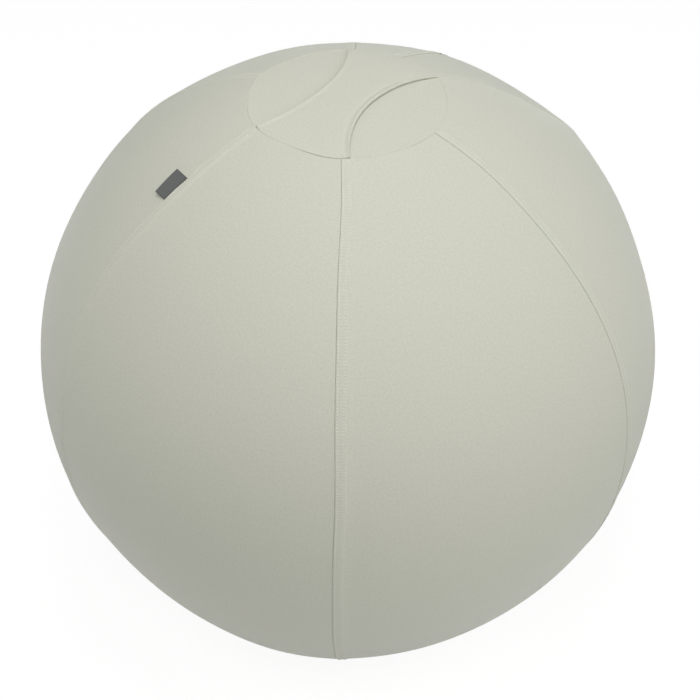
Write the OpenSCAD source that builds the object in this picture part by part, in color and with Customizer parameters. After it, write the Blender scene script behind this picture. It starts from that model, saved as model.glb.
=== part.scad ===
// A sitting ball: an inflated bladder in a zipped cloth cover. The cover has six panels, a round
// top piece with a carrying strap over it and a round base piece, and a zip down its back panel.
// Millimetres. +Z is up, -Y is the front and +Y the back. The origin is on the floor, under the
// ball's centre. Polar angles are measured at the ball's centre, down from the top.

/* [Ball] */
// Diameter of the cover across the middle of its panels
ball_d = 650; // [560:5:760]
// How far a seam stands out beyond the middle of the panels, at the widest place
seam_rise = 3; // [1:0.5:6]
// Radius of the flat that the ball presses where it stands
foot_r = 65; // [45:1:85]

/* [Cover] */
// Thickness of the cover's knitted cloth
cover_t = 1; // [0.6:0.1:1.6]
// Width of the felled seam allowance that is stitched down beside each seam
fell_w = 8.5; // [6:0.5:12]
// How far the felled allowance stands out from its panel
fell_rise = 0.6; // [0.3:0.1:1]
// Radius of the round top piece
cap_r = 97; // [80:1:120]
// Height of the top piece's crown above its seam
cap_crown = 6; // [4:0.5:10]
// Radius of the round base piece
base_r = 97; // [90:1:130]
// Thickness of the base piece's gripping cloth
base_t = 1.4; // [1:0.1:2.5]

/* [Carrying strap] */
// Width of the strap at its waist, across the middle of the top piece
strap_waist = 53; // [40:1:70]
// Width of the strap where its ends are sewn into the top piece's seam
strap_end_w = 105; // [80:1:130]
// Thickness of the doubled cloth of the strap
strap_t = 1.6; // [1:0.1:3]
// Gap under the middle of the strap when nobody lifts it
strap_gap = 2.5; // [1:0.1:3.5]

/* [Bladder] */
// Thickness of the bladder's skin
bladder_t = 1; // [0.8:0.1:2]
// Radius of the moulded seat of the valve
valve_r = 15; // [13:1:20]
// Depth of the valve seat, from the outside of the bladder inwards
valve_depth = 7; // [5:0.5:10]
// Radius of the valve's bore
valve_bore_r = 4.5; // [3.5:0.1:6]
// Radius of the plug's head
plug_head_r = 9; // [7:0.5:11]
// Thickness of the plug's head
plug_head_t = 1.8; // [1.2:0.1:2.5]
// Turn of the valve about the upright axis, from the zip
valve_turn = 8; // [6:1:20]
// Polar angle of the valve, down from the top
valve_angle = 92; // [70:1:110]
// Depth of the loose sand that weighs the ball down
sand_depth = 16; // [8:1:26]

/* [Zip] */
// Polar angle of the zip's upper end
zip_top_angle = 46; // [28:1:60]
// Polar angle of the zip's lower end
zip_bottom_angle = 138; // [110:1:148]
// Width of the slot between the hemmed edges
slot_w = 9; // [8:0.5:12]
// Width of the hem beside the slot
hem_w = 8; // [5:0.5:12]
// How far the hem stands out from its panel
hem_rise = 0.9; // [0.4:0.1:1.5]
// Distance from the middle of the zip to the tape's outer edge
tape_w = 14; // [12:0.5:16]
// Thickness of the tape
tape_t = 0.6; // [0.4:0.1:0.8]
// Width of the closed chain
chain_w = 5.6; // [4.5:0.1:6]
// Height of the chain above its tape
chain_h = 2.4; // [1.8:0.1:2.8]
// Length of the stops at the zip's ends
stop_len = 4; // [2.5:0.5:6]
// Length of the slider
slider_len = 18; // [14:1:22]
// Thickness of the slider's two plates
plate_t = 1.2; // [0.8:0.1:1.5]
// Length of the slider's neck, between the two rows of teeth
neck_len = 4; // [3:0.5:5]
// Radius of the pull's cross bar
bar_r = 0.8; // [0.6:0.1:1]
// Length of the pull, from its cross bar to its free end
pull_len = 28; // [22:1:36]
// Width of the pull
pull_w = 7; // [6:0.5:7.5]
// Thickness of the pull
pull_t = 1.4; // [1:0.1:1.6]

/* [Label] */
// Length of the label along its seam
label_len = 30; // [20:1:45]
// Width of the label, from the seam to its free edge
label_w = 17; // [12:1:28]
// Thickness of the folded label
label_t = 0.8; // [0.4:0.1:1.2]
// Distance down the seam, from the top piece to the label's middle
label_drop = 93; // [60:0.5:200]
// Angle by which the label stands off its panel
label_lift = 6; // [4:1:40]
// How far its sewn edge lies over the felled allowance, past the seam
label_set = 2; // [0:0.5:4]

/* [Hidden] */

// Smoothness of the large and the small round surfaces
large_fn = 180;
small_fn = 48;

// Clearances: between soft pieces, in the cover's seams, of a bar or plug in its bore, and of the
// slider and its pull at their sides
soft_gap = 0.3;
seam_gap = 0.2;
bore_gap = 0.1;
side_gap = 0.4;

// The ball's own sizes, about its centre
panel_count = 6;
half_panel = 180 / panel_count;
mid_r = ball_d / 2;
centre_z = sqrt(mid_r * mid_r - foot_r * foot_r);
seam_r = mid_r + seam_rise;
far = 2 * mid_r;
cut_depth = 12;

// A panel is flatter across than a sphere: it turns about an axis this far behind the ball's own
set_back = (seam_r * seam_r - mid_r * mid_r) / (2 * (mid_r - seam_r * cos(half_panel)));

// Radius at which a panel's surface of mid radius x, out from the ball's axis, meets its seam
function seam_at(x) =
    let (b = 2 * set_back * cos(half_panel))
    (sqrt(b * b + 4 * (x * x + 2 * x * set_back)) - b) / 2;

// Height of the top piece's seam, and radius of a low dome of a given crown over that seam
cap_seam_z = sqrt(mid_r * mid_r - cap_r * cap_r);
function dome_r(crown) = (cap_r * cap_r + crown * crown) / (2 * crown);

// Polar angle of the label's middle
label_angle = asin(cap_r / mid_r) + arc(label_drop);

// The strap's edges are arcs from one end's corner to the other
strap_reach = sqrt(cap_r * cap_r - strap_end_w * strap_end_w / 4);
strap_draw = (strap_end_w - strap_waist) / 2;
strap_arc_r = (strap_reach * strap_reach + strap_draw * strap_draw) / (2 * strap_draw);

// Angle that a length takes along the zip
function arc(length) = length / mid_r * 180 / PI;

// Levels of the zip's layers, measured out from the ball's centre
tape_out = mid_r - cover_t - 2 * soft_gap;
tape_in = tape_out - tape_t;
chain_out = tape_out + chain_h;
plate_low = chain_out + soft_gap;
plate_top = plate_low + plate_t;
under_top = tape_in - soft_gap;
under_low = under_top - plate_t;
groove_r = under_low - 2 * soft_gap;

// Widths across the zip
slider_w = slot_w - 2 * side_gap;
flange_t = (slider_w - chain_w) / 2 - soft_gap;
neck_w = 1.6;
lug_w = 2.4;
tape_edge = neck_w / 2 + soft_gap;
chain_split = 0.05;
groove_w = 2 * (tape_w + 1);

// Lengths along the zip: from the slot's ends to the stops, between the slider and what it meets,
// and how far the tapes and the bladder's groove go on past the slot
stop_rest = 1;
slider_gap = 0.5;
tape_past = 6;
groove_past = 16;

// Places along the zip, as polar angles
stop_a = zip_top_angle + arc(stop_rest);
slider_a = stop_a + arc(stop_len + slider_gap);
slider_b = slider_a + arc(slider_len);
chain_a = slider_a + arc(neck_len + slider_gap);
chain_b = zip_bottom_angle - arc(stop_rest + stop_len);

// The pull hangs from its cross bar in the slider's lug, and slopes down to the zip
lug_r = bar_r + bore_gap + 1;
bar_z = plate_top + lug_r;
bar_a = (slider_a + slider_b) / 2;
pull_slope = 7;
eye_len = 5;
hole_r = 1.6;

// The bladder, and the valve in its skin
bladder_r = mid_r - max(cover_t, base_t) - soft_gap;
seat_top = sqrt(bladder_r * bladder_r - valve_r * valve_r) - bore_gap;
plug_tail = 3;

cloth = "#c9cabd";
skin = "#8f9296";

module at_centre() translate([0, 0, centre_z]) children();

// Local frame on the ball: +Z outwards, +X down the ball, +Y to greater azimuths
module at_point(azimuth, polar, out)
    rotate([0, 0, azimuth]) rotate([0, polar, 0]) translate([0, 0, out]) children();

// Local frame on the zip: +Z outwards, +Y down the ball, +X to the right
module at_zip(polar, out) rotate([-polar, 0, 0]) translate([0, 0, out]) children();

// A curved bar along the zip, between two polar angles, two places across and two levels
module zip_bar(from, to, left, right, low, high)
    rotate([0, 90, 0]) rotate([0, 0, 180 - to])
        rotate_extrude(angle = to - from, $fn = large_fn)
            translate([low, left]) square([high - low, right - left]);

// The shell that a panel is cut from, with the panel's middle towards +X
module panel_shell(outer, thick) {
    inner_edge = 0.9 * min(cap_r, base_r);
    translate([-set_back, 0, 0])
        rotate([0, 0, -half_panel]) rotate_extrude(angle = 2 * half_panel, $fn = large_fn)
            translate([set_back, 0]) intersection() {
                difference() {
                    circle(outer, $fn = large_fn);
                    circle(outer - thick, $fn = large_fn);
                }
                translate([inner_edge, -far / 2]) square([far, far]);
            }
}

// The wedge that a panel takes, between two turns from the panel's middle
module wedge(from, to)
    linear_extrude(height = 2 * far, center = true)
        polygon([[0, 0], far * [1, tan(from)], far * [1, tan(to)]]);

// Room for the round top and base pieces
module round_ends() {
    cylinder(h = far, r = cap_r + seam_gap, $fn = large_fn);
    translate([0, 0, -far]) cylinder(h = far, r = base_r + seam_gap, $fn = large_fn);
}

// A panel, with the felled allowance of the seam on its clockwise side
module panel(azimuth, from = -half_panel, to = half_panel)
    at_centre() difference() {
        rotate([0, 0, azimuth]) intersection() {
            union() {
                panel_shell(mid_r, cover_t);
                intersection() {
                    panel_shell(mid_r + fell_rise, cover_t / 2 + fell_rise);
                    rotate([0, 0, from]) translate([0, -fell_w, -far]) cube([far, 2 * fell_w, 2 * far]);
                }
            }
            wedge(from, to);
        }
        round_ends();
    }

// Room along the zip between two places across it, right through the cover
module zip_room(left, right)
    zip_bar(zip_top_angle, zip_bottom_angle, left, right, mid_r - cut_depth, mid_r + cut_depth);

// Half of the back panel: its edge is hemmed along the slot of the zip. Side is 1 for the right.
module back_half(side)
    difference() {
        union() {
            panel(90, side > 0 ? -half_panel : 0, side > 0 ? 0 : half_panel);
            at_centre() intersection() {
                rotate([0, 0, 90]) panel_shell(mid_r + hem_rise, cover_t / 2 + hem_rise);
                mirror([side > 0 ? 0 : 1, 0, 0]) zip_room(slot_w / 4, slot_w / 2 + hem_w);
            }
        }
        at_centre() zip_room(-slot_w / 2, slot_w / 2);
    }

module panel_front() color(cloth) panel(270);
module panel_right_front() color(cloth) panel(330);
module panel_right_back() color(cloth) panel(30);
module panel_back_right() color(cloth) back_half(1);
module panel_back_left() color(cloth) back_half(-1);
module panel_left_back() color(cloth) panel(150);
module panel_left_front() color(cloth) panel(210);

// A low dome over the top piece's seam, as a full solid up to that radius
module dome(crown, lift, radius)
    rotate_extrude($fn = large_fn) intersection() {
        translate([0, cap_seam_z + lift + crown - dome_r(crown)]) circle(dome_r(crown), $fn = large_fn);
        translate([0, cap_seam_z / 2]) square([radius, cap_seam_z]);
    }

module top_piece()
    color(cloth) at_centre() difference() {
        dome(cap_crown, 0, cap_r);
        dome(cap_crown, -cover_t, cap_r + 1);
    }

// A ball of a given radius, flat at the bottom at a height above the floor
module standing_ball(radius, floor_z)
    intersection() {
        sphere(radius, $fn = large_fn);
        translate([-far, -far, floor_z - centre_z]) cube(2 * far);
    }

module base_piece()
    color("#74766f") at_centre() intersection() {
        difference() {
            standing_ball(mid_r, 0);
            standing_ball(mid_r - base_t, base_t);
        }
        translate([0, 0, -far]) cylinder(h = far, r = base_r, $fn = large_fn);
    }

// Plan of the strap: drawn in between two arcs, with its ends on the seam
module strap_plan()
    difference() {
        circle(cap_r - soft_gap, $fn = large_fn);
        for (side = [-1, 1])
            translate([side * (strap_waist / 2 + strap_arc_r), 0]) circle(strap_arc_r, $fn = large_fn);
    }

module carrying_strap()
    color(cloth) at_centre() intersection() {
        difference() {
            dome(cap_crown + strap_gap, soft_gap + strap_t, cap_r);
            dome(cap_crown + strap_gap, soft_gap, cap_r + 1);
        }
        linear_extrude(height = far) strap_plan();
    }

// The bladder's form at a depth below its outside: flattened at the foot and under the top piece,
// and pressed in along the zip
module bladder_form(depth)
    difference() {
        intersection() {
            standing_ball(bladder_r - depth, base_t + depth);
            translate([0, 0, cap_seam_z + cap_crown - dome_r(cap_crown)])
                sphere(dome_r(cap_crown) - cover_t - soft_gap - depth, $fn = large_fn);
        }
        zip_bar(zip_top_angle - arc(groove_past + depth), zip_bottom_angle + arc(groove_past + depth),
            -groove_w / 2 - depth, groove_w / 2 + depth, groove_r - depth, mid_r + cut_depth);
    }

module post(length, radius) cylinder(h = length, r = radius, $fn = small_fn);
module rod(length, radius) rotate([0, 90, 0]) cylinder(h = length, r = radius, center = true, $fn = small_fn);

module at_valve(out) at_point(90 + valve_turn, valve_angle, out) children();

module bladder()
    color(skin) at_centre() difference() {
        bladder_form(0);
        bladder_form(bladder_t);
        at_valve(seat_top - 2 * valve_depth) post(4 * valve_depth, valve_r + bore_gap);
    }

module valve_seat()
    color("#6f7276") at_centre() at_valve(seat_top) difference() {
        translate([0, 0, -valve_depth]) post(valve_depth, valve_r);
        translate([0, 0, -plug_head_t - bore_gap]) post(valve_depth, plug_head_r + bore_gap);
        translate([0, 0, -2 * valve_depth]) post(3 * valve_depth, valve_bore_r);
    }

module valve_plug()
    color("#dadbd8") at_centre() at_valve(seat_top - plug_head_t) {
        post(plug_head_t, plug_head_r);
        translate([0, 0, -valve_depth - plug_tail]) post(valve_depth + plug_tail, valve_bore_r - bore_gap);
    }

module sand_ballast()
    color("#b9a274") at_centre() intersection() {
        bladder_form(bladder_t + soft_gap);
        translate([0, 0, -centre_z]) cylinder(
            h = base_t + bladder_t + soft_gap + sand_depth, r = mid_r, $fn = large_fn);
    }

module zip_tape(side)
    at_centre() mirror([side > 0 ? 0 : 1, 0, 0])
        zip_bar(zip_top_angle - arc(tape_past), zip_bottom_angle + arc(tape_past),
            tape_edge, tape_w, tape_in, tape_out);

module zip_tape_right() color("#bfc0b3") zip_tape(1);
module zip_tape_left() color("#bfc0b3") zip_tape(-1);

module zip_chain(side)
    at_centre() mirror([side > 0 ? 0 : 1, 0, 0])
        zip_bar(chain_a, chain_b, chain_split, chain_w / 2, tape_out, chain_out);

module zip_chain_right() color("#b4b5a8") zip_chain(1);
module zip_chain_left() color("#b4b5a8") zip_chain(-1);

module zip_top_stops()
    color("#5f6261") at_centre() for (side = [0, 1])
        mirror([side, 0, 0])
            zip_bar(stop_a, stop_a + arc(stop_len), tape_edge, chain_w / 2, tape_out, chain_out);

module zip_bottom_stop()
    color("#5f6261") at_centre()
        zip_bar(chain_b, chain_b + arc(stop_len), -chain_w / 2, chain_w / 2, tape_out, chain_out);

// One of the slider's two side walls, on the right
module slider_flange()
    zip_bar(slider_a, slider_b, slider_w / 2 - flange_t, slider_w / 2, tape_out + soft_gap, plate_top);

module zip_slider()
    color("#55585a") at_centre() difference() {
        union() {
            zip_bar(slider_a, slider_b, -slider_w / 2, slider_w / 2, plate_low, plate_top);
            zip_bar(slider_a, slider_b, -slider_w / 2, slider_w / 2, under_low, under_top);
            slider_flange();
            mirror([1, 0, 0]) slider_flange();
            zip_bar(slider_a, slider_a + arc(neck_len), -neck_w / 2, neck_w / 2, under_low, plate_top);
            at_zip(bar_a, bar_z) {
                rod(lug_w, lug_r);
                translate([-lug_w / 2, -lug_r, plate_low - bar_z])
                    cube([lug_w, 2 * lug_r, bar_z - plate_low]);
            }
        }
        at_zip(bar_a, bar_z) rod(2 * lug_w, bar_r + bore_gap);
    }

// Plan of the pull: a tongue with a round end, a window for the slider's lug and a hole
module pull_plan()
    difference() {
        union() {
            translate([-pull_w / 2, -bar_r]) square([pull_w, pull_len - pull_w / 2 + bar_r]);
            translate([0, pull_len - pull_w / 2]) circle(pull_w / 2, $fn = small_fn);
        }
        translate([-lug_w / 2 - side_gap, -eye_len]) square([lug_w + 2 * side_gap, 2 * eye_len]);
        translate([0, pull_len - pull_w / 2]) circle(hole_r, $fn = small_fn);
    }

module zip_pull()
    color("#55585a") at_centre() at_zip(bar_a, bar_z) rotate([-pull_slope, 0, 0]) {
        rod(pull_w, bar_r);
        linear_extrude(height = pull_t, center = true) pull_plan();
    }

// The label's long edge is caught in the seam between the front and the left front panel
module label()
    color("#565c5d") at_centre() rotate([0, 0, 240])
        translate([seam_at(mid_r * sin(label_angle)), 0, mid_r * cos(label_angle)])
            rotate([0, label_angle, 0]) translate([0, label_set, label_t / 2 + fell_rise + soft_gap])
                rotate([-label_lift, 0, 0])
                    translate([-label_len / 2, -label_w, -label_t / 2]) cube([label_len, label_w, label_t]);

panel_front();
panel_right_front();
panel_right_back();
panel_back_right();
panel_back_left();
panel_left_back();
panel_left_front();
top_piece();
base_piece();
carrying_strap();
bladder();
valve_seat();
valve_plug();
sand_ballast();
zip_tape_right();
zip_tape_left();
zip_chain_right();
zip_chain_left();
zip_top_stops();
zip_bottom_stop();
zip_slider();
zip_pull();
label();
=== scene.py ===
"""A sitting ball: an inflated bladder in a zipped cover of stretch knit, with a strap to carry it by.

Every length is in millimetres until a mesh is made of it. Polar angles run down from the ball's top,
and azimuths run round it from +X by +Y, so that the seams stand at 0, 60 and so on to 300 degrees and
the zip at 90. Left and right of a panel or seam are as seen from the ball's middle: left is where the
azimuths grow. A panel's surface at a polar angle and at an angle off the panel's middle lies where a
circle about an axis SET_BACK behind the ball's own axis has it: its level is the ball's radius times
the polar angle's cosine, and its distance from the axis follows from the circle's radius at that level.
So each panel is a little flatter across than the ball, and each seam stands proud.
"""
import math
from collections import namedtuple

import bmesh
import bpy
import mathutils
import numpy as np
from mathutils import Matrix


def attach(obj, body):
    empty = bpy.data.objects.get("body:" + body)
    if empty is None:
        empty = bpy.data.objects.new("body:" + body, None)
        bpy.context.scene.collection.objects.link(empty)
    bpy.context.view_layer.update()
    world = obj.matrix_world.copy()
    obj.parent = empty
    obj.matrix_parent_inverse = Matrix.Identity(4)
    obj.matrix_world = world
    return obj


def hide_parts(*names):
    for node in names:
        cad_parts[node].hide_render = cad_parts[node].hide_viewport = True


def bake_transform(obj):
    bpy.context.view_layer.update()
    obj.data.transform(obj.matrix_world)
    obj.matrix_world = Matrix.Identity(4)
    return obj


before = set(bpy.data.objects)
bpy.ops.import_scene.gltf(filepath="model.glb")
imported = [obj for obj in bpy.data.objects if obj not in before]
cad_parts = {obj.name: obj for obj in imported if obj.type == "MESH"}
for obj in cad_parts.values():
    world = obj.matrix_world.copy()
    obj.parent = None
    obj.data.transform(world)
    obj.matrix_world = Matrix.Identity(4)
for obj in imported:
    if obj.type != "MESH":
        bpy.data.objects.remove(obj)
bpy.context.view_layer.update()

# The bladder
# A blown ball of soft PVC, 1 mm thick, pumped up inside the cover. It is flat where it stands, low
# under the top piece, and pressed in along the zip. Fine moulded rings run round it.
BALL_R = 325.0
CENTRE_Z = 318.434
CENTRE = np.array([0, 0, CENTRE_Z])
TOP_SEAM_R = 97.0
TOP_SEAM_Z = CENTRE_Z + math.sqrt(BALL_R**2 - TOP_SEAM_R**2)
TOP_CROWN = 6.0
BLADDER_R = 323.2
BLADDER_WALL = 1.0
# Level of the flat that it stands on, its gap under the top piece, and the trough along the zip
FOOT_LEVEL, LID_GAP = 1.8, 1.4
TROUGH_DEPTH, TROUGH_HALF = 2.6, 15.0
ZIP_POLAR = (46.0, 138.0)
VALVE_AZIMUTH, VALVE_POLAR = 98.0, 92.0
RECESS_DEPTH, RECESS_R = 1.5, 14.0
# Low hollows and swells of the filled cover: azimuth, polar angle and spread in degrees, and height
OFF_ROUND = (
    (36, 70, 12.0, -2.4), (50, 60.5, 16.0, 1.2), (85, 38, 9.0, 1.4), (119, 31, 9.4, -2.9),
    (162, 37, 16.0, -2.4), (198, 60, 11.5, -1.3), (224, 89, 16.0, -0.6), (249, 113, 16.0, -2.8),
    (286, 129, 11.0, 2.5), (316, 129, 13.0, 1.1), (7, 103, 16.0, -1.9),
)
# Soft bends of each seam off its meridian, to the left, at polar angles BEND_STEP degrees apart
BEND_FIRST, BEND_STEP, BEND_SPREAD = 14, 12, 10
SEAM_BENDS = {
    0: (-2.6, -1.6, -4.0, -2.5, -0.4, 0.5, -1.6, -2.6, -0.5, 0.2),
    60: (-0.3, -5.4, -15.1, -16.2, -3.2, -0.4),
    90: (-1.5, -3.8, -0.3),
    120: (-3.0, -3.2, -1.5, -1.0, -0.8, 0.0, 0.3, 0.8, 0.9, 0.3),
    180: (0.0, 0.0, 0.6, 1.0, 0.2, -0.8, -1.0, -0.5),
    240: (-5.4, 0.2, 2.6, -2.2, -1.6, -1.2, -0.8, -0.8, -0.1),
    300: (-2.9, 0.5, -1.4, -0.8, -1.2, 0.1, -1.8, -2.4, -3.0, -2.4, -1.6),
}
# Where a stiff seam stands up as a ridge: seam, polar angle, spread along it, reach to both sides, height
RIDGES = ((60, 49.0, 7.0, 60.0, 3.2), (240, 44.0, 16.0, 25.0, 0.8))


def grid_quads(rows, columns, first=0, wrap=False):
    """Quads of a grid that is numbered row by row. They face the side from which rows run down and
    columns run to the right, and wrap joins the last column to the first."""
    i, j = np.meshgrid(np.arange(rows - 1), np.arange(columns - (not wrap)), indexing="ij")
    k = (j + 1) % columns
    corners = [i * columns + j, (i + 1) * columns + j, (i + 1) * columns + k, i * columns + k]
    return first + np.stack(corners, -1).reshape(-1, 4)


def make_piece(name, points, faces, material, uv=None, **values):
    """A mesh object from points in millimetres. Faces is a list of blocks, each an array of quads or
    one ring of point numbers. Uv and the named values hold a place and a number for each point."""
    points = np.asarray(points, float).reshape(-1, 3) / 1000
    lists = [f for block in faces for f in (block.tolist() if np.ndim(block) == 2 else [list(block)])]
    mesh = bpy.data.meshes.new(name)
    mesh.from_pydata(points.tolist(), [], lists)
    mesh.polygons.foreach_set("use_smooth", np.ones(len(lists), bool))
    mesh.set_sharp_from_angle(angle=math.radians(55))
    if uv is not None:
        corner = np.zeros(len(mesh.loops), np.int32)
        mesh.loops.foreach_get("vertex_index", corner)
        places = np.asarray(uv, float).reshape(-1, 2)[corner] / 1000
        mesh.uv_layers.new(name="cloth").data.foreach_set("uv", places.ravel())
    for key, number in values.items():
        layer = mesh.attributes.new(key, "FLOAT", "POINT")
        layer.data.foreach_set("value", np.asarray(number, np.float32).ravel())
    mesh.update()
    mesh.materials.append(material)
    made = bpy.data.objects.new(name, mesh)
    bpy.context.scene.collection.objects.link(made)
    return made


def ease(x):
    """Smooth step: 0 below 0, 1 above 1, and three squares less two cubes between."""
    x = np.clip(x, 0, 1)
    return x * x * (3 - 2 * x)


def outward(azimuth, polar):
    """Unit vectors from the ball's centre, for angles in radians."""
    level = np.cos(polar) + 0 * azimuth
    return np.stack([np.sin(polar) * np.cos(azimuth), np.sin(polar) * np.sin(azimuth), level], -1)


def unit(vectors):
    """The same directions, each with a length of 1."""
    return vectors / np.linalg.norm(vectors, axis=-1, keepdims=True)


def angle_from(out, azimuth, polar):
    """Angles in radians between unit vectors and the way out to a place that is given in degrees."""
    place = outward(math.radians(azimuth), math.radians(polar))
    return np.arccos(np.clip(out @ place, -1, 1))


def seam_bend(seam, polar):
    """How far a seam runs to the left of its meridian: a sum of bell-shaped bends."""
    at = (np.degrees(polar) - BEND_FIRST) / BEND_SPREAD
    bends = enumerate(SEAM_BENDS[seam % 360])
    return sum(size * np.exp(-((at - i * BEND_STEP / BEND_SPREAD) ** 2)) for i, size in bends)


def swell(points):
    """Height of the cover's hollows and swells at points about the ball's centre: a bell each, and the
    ridges, which fall off to both sides of a seam as e to the minus distance over reach."""
    out, total = unit(points), 0.0
    for azimuth, polar, wide, height in OFF_ROUND:
        angle = np.degrees(angle_from(out, azimuth, polar)) / wide
        total = total + height * np.exp(-(angle**2))
    polar = np.arccos(np.clip(out[..., 2], -1, 1))
    for seam, at, wide, reach, height in RIDGES:
        turn = np.arctan2(out[..., 1], out[..., 0]) - math.radians(seam)
        across = np.arctan2(np.sin(turn), np.cos(turn)) * BALL_R * np.sin(polar) - seam_bend(seam, polar)
        total = total + height * np.exp(-(((np.degrees(polar) - at) / wide) ** 2) - np.abs(across) / reach)
    return total


def dome_height(radius, crown, rim=TOP_SEAM_R):
    """Height over the rim of a low round dome: a circle's arc through the rim and the crown."""
    arc = (rim * rim + crown * crown) / (2 * crown)
    return crown - arc + np.sqrt(np.maximum(arc * arc - radius * radius, 0))


def paint(code):
    """Linear colour of an sRGB hex code, by the sRGB curve on each channel."""
    c = np.array([int(code[i:i + 2], 16) for i in (1, 3, 5)]) / 255
    return (*np.where(c <= 0.04045, c / 12.92, ((c + 0.055) / 1.055) ** 2.4).tolist(), 1.0)


def add(material, kind, inputs=None, **settings):
    """Adds a shader node, sets its settings, and fills its inputs: another node's output is linked,
    and a number or colour is set on the socket. Gives the node's first output."""
    node = material.node_tree.nodes.new("ShaderNode" + kind)
    for key, value in settings.items():
        setattr(node, key, value)
    for key, value in (inputs or {}).items():
        if isinstance(value, bpy.types.NodeSocket):
            material.node_tree.links.new(value, node.inputs[key])
        else:
            node.inputs[key].default_value = value
    return node.outputs[0] if node.outputs else node


def new_material(name):
    """An empty node material, with only its output."""
    material = bpy.data.materials.new(name)
    material.use_nodes = True
    material.node_tree.nodes.clear()
    return material


def close_material(material, shader):
    """Links the finished shader to the material's output."""
    add(material, "OutputMaterial", {"Surface": shader})
    return material


def source(material, kind, name, **settings):
    """Adds a node that takes nothing in, and gives its named output."""
    return add(material, kind, **settings).node.outputs[name]


def textured(name, space):
    """A new material, and the places in it: Object for the ball's own axes, UV for the cloth's."""
    material = new_material(name)
    return material, source(material, "TexCoord", space)


def maths(material, operation, *values, **settings):
    """One step of arithmetic on numbers and other nodes' outputs."""
    return add(material, "Math", dict(enumerate(values)), operation=operation, **settings)


def tinted(material, share, colour, code):
    """A colour, turned by a share towards another."""
    values = {0: share, 6: colour, 7: paint(code)}
    return add(material, "Mix", values, data_type="RGBA").node.outputs[2]


def on_points(material, name):
    """A number that the mesh holds for each of its points."""
    return source(material, "Attribute", "Fac", attribute_name=name)


def spots(material, where, size, detail=2.0):
    """Noise with spots of a size in millimetres."""
    return add(material, "TexNoise", {"Vector": where, "Scale": 1000 / size, "Detail": detail})


def bands(material, where, pitch, way):
    """Rounded bands at a pitch in millimetres. A wave texture's bands are 314 mm apart at scale 1."""
    wave = add(material, "TexWave", {"Vector": where, "Scale": 314 / pitch}, bands_direction=way)
    return wave.node.outputs["Fac"]


def shades(material, where, size, dark, light, detail=2.0):
    """Colour that drifts between two near shades, over spots of a size in millimetres."""
    colour = add(material, "ValToRGB", {"Fac": spots(material, where, size, detail)})
    for stop, place, code in zip(colour.node.color_ramp.elements, (0.3, 0.7), (dark, light)):
        stop.position, stop.color = place, paint(code)
    return colour


def finish(material, colour, height, strength, depth, surface):
    """Ends a material: a surface of some values in a colour, over a bump of a depth in metres."""
    relief = add(material, "Bump", {"Height": height, "Strength": strength, "Distance": depth})
    values = {"Base Color": colour, "Normal": relief, **surface}
    return close_material(material, add(material, "BsdfPrincipled", values))


def vinyl_material():
    """Soft PVC, blown in a mould: an even, slightly silky skin with moulded rings 6 mm apart."""
    m, where = textured("blown_soft_pvc", "Object")
    colour = shades(m, where, 60, "#878B90", "#94979C")
    return finish(m, colour, bands(m, where, 6, "Z"), 0.5, 0.0004, {"Roughness": 0.42, "IOR": 1.53})


def bladder_surface(depth):
    """Points of the skin at a depth: the ball, cut by the floor's level, by the underside of the top
    piece and by a trough along the zip, and let in a little round the valve."""
    polar = np.radians(np.linspace(1.5, 178.5, 119))[:, None]
    azimuth = np.radians(np.arange(0, 360, 2.0))[None, :]
    out = outward(azimuth, polar)
    up = out[..., 2]
    floor = np.where(up < -0.5, (FOOT_LEVEL + depth - CENTRE_Z) / np.minimum(up, -0.5), 1e3)
    radius = np.minimum(BLADDER_R - depth, floor)
    rim = radius * np.sin(polar)
    lid = TOP_SEAM_Z - CENTRE_Z + dome_height(np.minimum(rim, 160), TOP_CROWN) - LID_GAP - depth
    radius = np.where(up > 0.9, np.minimum(radius, lid / np.maximum(up, 0.9)), radius)
    across = np.abs(out[..., 0]) * BALL_R
    along = (out[..., 1] > 0) * ease((np.degrees(polar) - ZIP_POLAR[0] + 3.5) / 1.5)
    along = along * ease((ZIP_POLAR[1] + 3.5 - np.degrees(polar)) / 1.5)
    radius = radius - TROUGH_DEPTH * along * (1 - ease((across - TROUGH_HALF) / 6))
    near_valve = angle_from(out, VALVE_AZIMUTH, VALVE_POLAR) * BALL_R
    radius = radius - RECESS_DEPTH * (1 - ease((near_valve - RECESS_R) / 6)) + swell(out)
    return CENTRE + radius[..., None] * out


skin = bladder_surface(0.0)
lining = bladder_surface(BLADDER_WALL)
rows, columns = skin.shape[:2]
inner = rows * columns
bladder = make_piece("inflated_bladder", [skin, lining], [
    grid_quads(rows, columns, wrap=True), grid_quads(rows, columns, inner, wrap=True)[:, ::-1],
    np.arange(columns), np.arange(inner - columns, inner)[::-1],
    inner + np.arange(columns)[::-1], 2 * inner - columns + np.arange(columns)], vinyl_material())
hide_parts("bladder")
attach(bladder, "ball")

# The valve
# A moulded seat of harder PVC is welded into the skin behind the cover, and a plug of polyethylene
# with a flat head is pushed into it. Both keep the CAD parts' form, with their edges rounded.


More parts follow.
